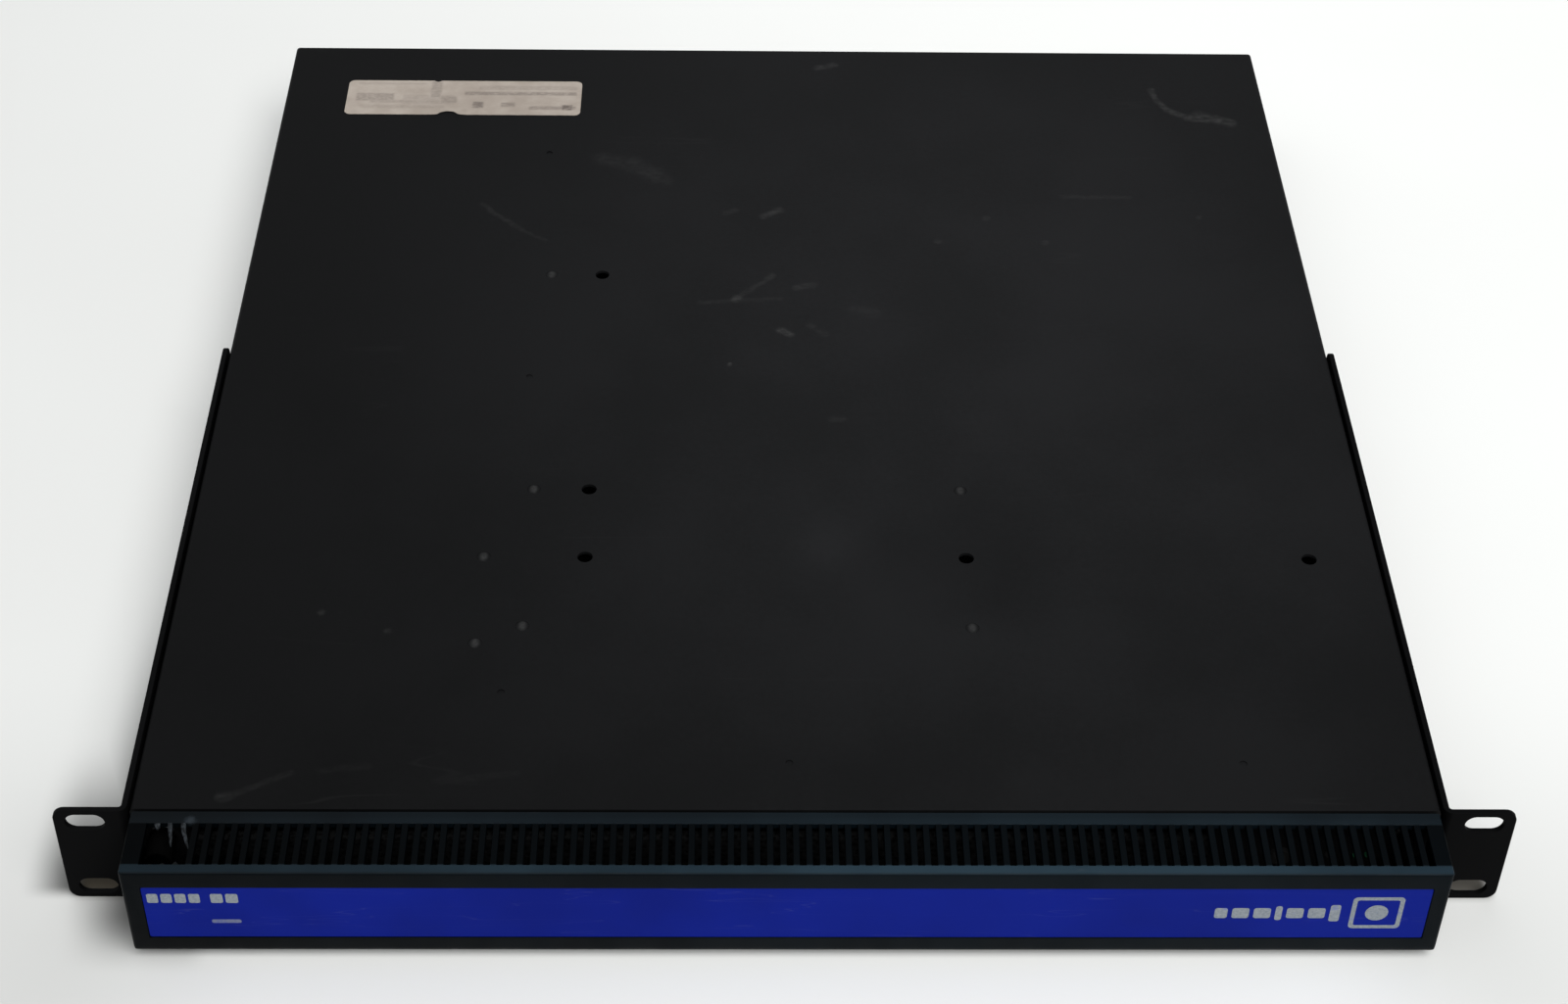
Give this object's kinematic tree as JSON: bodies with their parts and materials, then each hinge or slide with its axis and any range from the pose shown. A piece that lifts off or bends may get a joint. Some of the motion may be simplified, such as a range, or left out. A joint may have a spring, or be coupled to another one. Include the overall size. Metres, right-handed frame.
{
  "type": "rack-mount network security appliance",
  "caption": "One-unit rack-mount network appliance lying on its lid: flat black chassis, side rack brackets with slotted ears, and a vented pull-off bezel with a blue front plate.",
  "frame": {"origin": "centre of the front plane of the two rack ears, midway between their four slots", "axes": "+Z out of the base pan (the unit lies on its lid, as pictured), -Y out of the front, +X to the right when facing the front in this pose"},
  "size_m": [0.4826, 0.4921, 0.0433],
  "materials": {
    "powder_coat": "fine-textured matt black powder coat",
    "bezel_plastic": "moulded matt black plastic with a faint blue cast",
    "plate_blue": "deep blue satin plate",
    "plate_ink": "off-white printed bars",
    "label_film": "worn beige label",
    "zinc_steel": "zinc-plated steel",
    "screw_black": "black oxide screws",
    "filter_foam": "open-cell dark foam",
    "dark_plastic": "black moulded plastic",
    "board_green": "green circuit board",
    "chip_black": "black chip bodies",
    "heatsink_aluminium": "plain aluminium",
    "heatsink_blue": "blue anodised aluminium",
    "processor_lid": "nickel-plated cover on a tan socket",
    "drive_metal": "cast aluminium",
    "supply_metal": "galvanised sheet",
    "supply_board_brown": "brown circuit board with its parts",
    "can_black": "sleeved capacitor cans",
    "riser_tan": "tan riser board with its sockets",
    "port_nickel": "nickel-plated port shells",
    "cable_jacket": "dark cable jackets",
    "latch_ivory": "ivory plastic latch",
    "button_grey": "light grey button cap"
  },
  "bodies": {
    "chassis": {"base_pan": "powder_coat", "front_panel": "powder_coat", "rear_panel": "powder_coat", "panel_rivets": "powder_coat", "rack_bracket_left": "powder_coat", "rack_bracket_right": "powder_coat", "bracket_screws": "screw_black", "rating_label": "label_film", "bezel_studs": "zinc_steel", "board_standoffs": "zinc_steel", "tray_studs": "zinc_steel", "stud_nuts": "zinc_steel", "motherboard": "board_green", "board_screws": "zinc_steel", "board_chips": "chip_black", "processor": "processor_lid", "processor_heatsink": "heatsink_aluminium", "heatsink_hardware": "zinc_steel", "chipset_heatsink": "heatsink_blue", "capacitors": "can_black", "coin_battery": "zinc_steel", "memory_sockets": "dark_plastic", "memory_modules": "board_green", "riser_card": "riser_tan", "expansion_card": "board_green", "card_bracket": "port_nickel", "network_jacks": "port_nickel", "usb_ports": "port_nickel", "serial_port": "port_nickel", "video_port": "port_nickel", "io_shield": "port_nickel", "fan_wall": "zinc_steel", "fan_housings": "dark_plastic", "drive_tray": "zinc_steel", "hard_drive": "drive_metal", "power_supply_case": "supply_metal", "power_supply_board": "supply_board_brown", "psu_fan_housing": "dark_plastic", "psu_fan_guard": "zinc_steel", "mains_inlet": "dark_plastic", "control_board": "board_green", "cable_set": "cable_jacket"},
    "bezel": {"bezel_shell": "bezel_plastic", "front_plate": "plate_blue", "plate_print": "plate_ink", "bezel_filter": "filter_foam", "bezel_clips": "dark_plastic"},
    "lid": {"lid": "powder_coat"},
    "thumbscrew_left": {"thumbscrew_left": "zinc_steel"},
    "thumbscrew_right": {"thumbscrew_right": "zinc_steel"},
    "power_button": {"power_button": "button_grey"},
    "reset_button": {"reset_button": "button_grey"},
    "switch_rocker": {"switch_rocker": "dark_plastic"},
    "memory_latch_left": {"memory_latch_left": "latch_ivory"},
    "memory_latch_right": {"memory_latch_right": "latch_ivory"},
    "fan_rotor_1": {"fan_rotor_1": "dark_plastic"},
    "fan_rotor_2": {"fan_rotor_2": "dark_plastic"},
    "fan_rotor_3": {"fan_rotor_3": "dark_plastic"},
    "fan_rotor_4": {"fan_rotor_4": "dark_plastic"},
    "psu_fan_rotor": {"psu_fan_rotor": "dark_plastic"}
  },
  "joints": [
    {"name": "bezel_pull", "type": "slide", "parent": "chassis", "child": "bezel", "axis": [0, -1, 0], "range_m": [0, 0.05]},
    {"name": "lid_slide", "type": "slide", "parent": "chassis", "child": "lid", "axis": [0, 1, 0], "range_m": [0, 0.47]},
    {"name": "thumbscrew_left_turn", "type": "hinge", "parent": "lid", "child": "thumbscrew_left", "pos_m": [-0.10475, 0.4572, -0.0138], "axis": [0, 1, 0], "continuous": true},
    {"name": "thumbscrew_right_turn", "type": "hinge", "parent": "lid", "child": "thumbscrew_right", "pos_m": [0.035, 0.4572, -0.0138], "axis": [0, 1, 0], "continuous": true},
    {"name": "power_button_press", "type": "slide", "parent": "chassis", "child": "power_button", "axis": [0, 1, 0], "range_m": [0, 0.0015]},
    {"name": "reset_button_press", "type": "slide", "parent": "chassis", "child": "reset_button", "axis": [0, 1, 0], "range_m": [0, 0.0015]},
    {"name": "mains_rocker_tilt", "type": "hinge", "parent": "chassis", "child": "switch_rocker", "pos_m": [-0.1275, 0.4544, 0.00038], "axis": [1, 0, 0], "range_deg": [-18, 0]},
    {"name": "memory_latch_left_tilt", "type": "hinge", "parent": "chassis", "child": "memory_latch_left", "pos_m": [0.172, 0.147, 0.008], "axis": [1, 0, 0], "range_deg": [-30, 0]},
    {"name": "memory_latch_right_tilt", "type": "hinge", "parent": "chassis", "child": "memory_latch_right", "pos_m": [0.182, 0.147, 0.008], "axis": [1, 0, 0], "range_deg": [-30, 0]},
    {"name": "fan_1_spin", "type": "hinge", "parent": "chassis", "child": "fan_rotor_1", "pos_m": [-0.045, 0.095, 0], "axis": [0, 1, 0], "continuous": true},
    {"name": "fan_2_spin", "type": "hinge", "parent": "chassis", "child": "fan_rotor_2", "pos_m": [0.01, 0.095, 0], "axis": [0, 1, 0], "continuous": true},
    {"name": "fan_3_spin", "type": "hinge", "parent": "chassis", "child": "fan_rotor_3", "pos_m": [0.1, 0.095, 0], "axis": [0, 1, 0], "continuous": true},
    {"name": "fan_4_spin", "type": "hinge", "parent": "chassis", "child": "fan_rotor_4", "pos_m": [0.155, 0.095, 0], "axis": [0, 1, 0], "continuous": true},
    {"name": "psu_fan_spin", "type": "hinge", "parent": "chassis", "child": "psu_fan_rotor", "pos_m": [-0.1918, 0.445, 0.00038], "axis": [0, 1, 0], "continuous": true}
  ]
}
